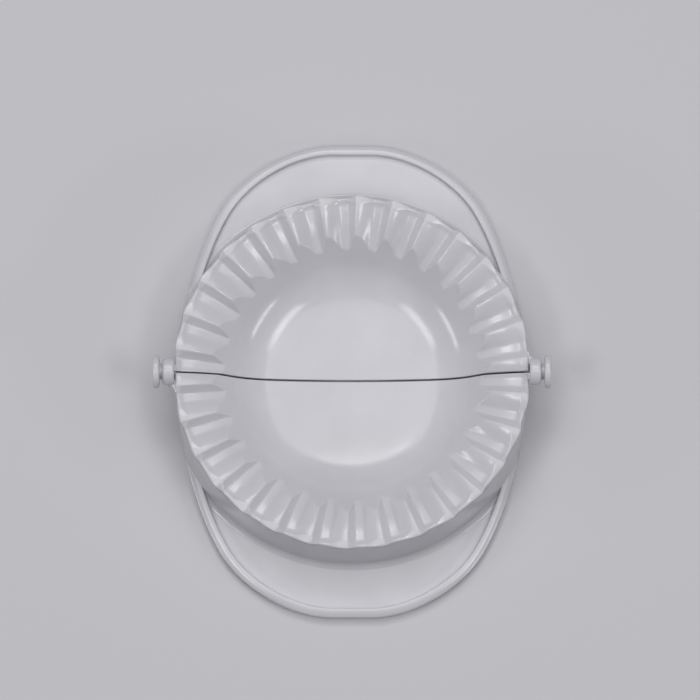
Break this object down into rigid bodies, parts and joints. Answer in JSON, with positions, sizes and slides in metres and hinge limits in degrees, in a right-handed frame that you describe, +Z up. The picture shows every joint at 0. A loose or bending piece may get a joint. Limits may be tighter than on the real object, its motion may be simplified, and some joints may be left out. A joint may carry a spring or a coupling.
{
  "type": "empanada press",
  "caption": "Hinged hand press that folds a round of dough over its filling and crimps the edge with saw-tooth pleats, lying open.",
  "frame": {"origin": "on the table under the middle of the hinge line, with the press lying open", "axes": "X along the hinge line, +Y towards the half that folds over, +Z up"},
  "size_m": [0.1198, 0.1444, 0.0256],
  "materials": {
    "white_plastic": "gloss"
  },
  "bodies": {
    "front_half": {"front_bowl": "white_plastic", "front_crimp_rim": "white_plastic", "front_skirt": "white_plastic", "front_tray": "white_plastic", "front_hinge_pin": "white_plastic", "front_hinge_hook": "white_plastic"},
    "back_half": {"back_bowl": "white_plastic", "back_crimp_rim": "white_plastic", "back_skirt": "white_plastic", "back_tray": "white_plastic", "back_hinge_pin": "white_plastic", "back_hinge_hook": "white_plastic"}
  },
  "joints": [
    {"name": "hinge_line", "type": "hinge", "parent": "front_half", "child": "back_half", "pos_m": [0, 0, 0.0206], "axis": [1, 0, 0], "range_deg": [0, 180]}
  ]
}
